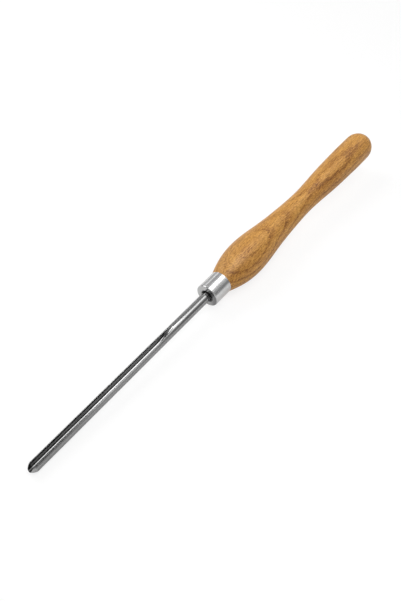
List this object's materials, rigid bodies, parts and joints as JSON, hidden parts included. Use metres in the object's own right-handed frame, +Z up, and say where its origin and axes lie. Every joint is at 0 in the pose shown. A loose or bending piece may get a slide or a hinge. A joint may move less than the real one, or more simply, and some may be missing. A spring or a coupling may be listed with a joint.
{
  "type": "bowl gouge",
  "caption": "Woodturning bowl gouge: round steel bar with a deep flute and a ground tip, set through a metal ferrule into a turned wooden handle that swells, narrows and ends rounded.",
  "frame": {"origin": "on the floor the tool lies on, under the middle of its bounding box", "axes": "+X towards the cutting tip, +Y across the tool, +Z up out of the open side of the flute"},
  "size_m": [0.5401, 0.0404, 0.0498],
  "materials": {
    "blade_steel": "satin",
    "ferrule_metal": "polished",
    "handle_wood": "satin"
  },
  "bodies": {
    "root": {"blade": "blade_steel", "ferrule": "ferrule_metal", "handle": "handle_wood"}
  },
  "joints": []
}
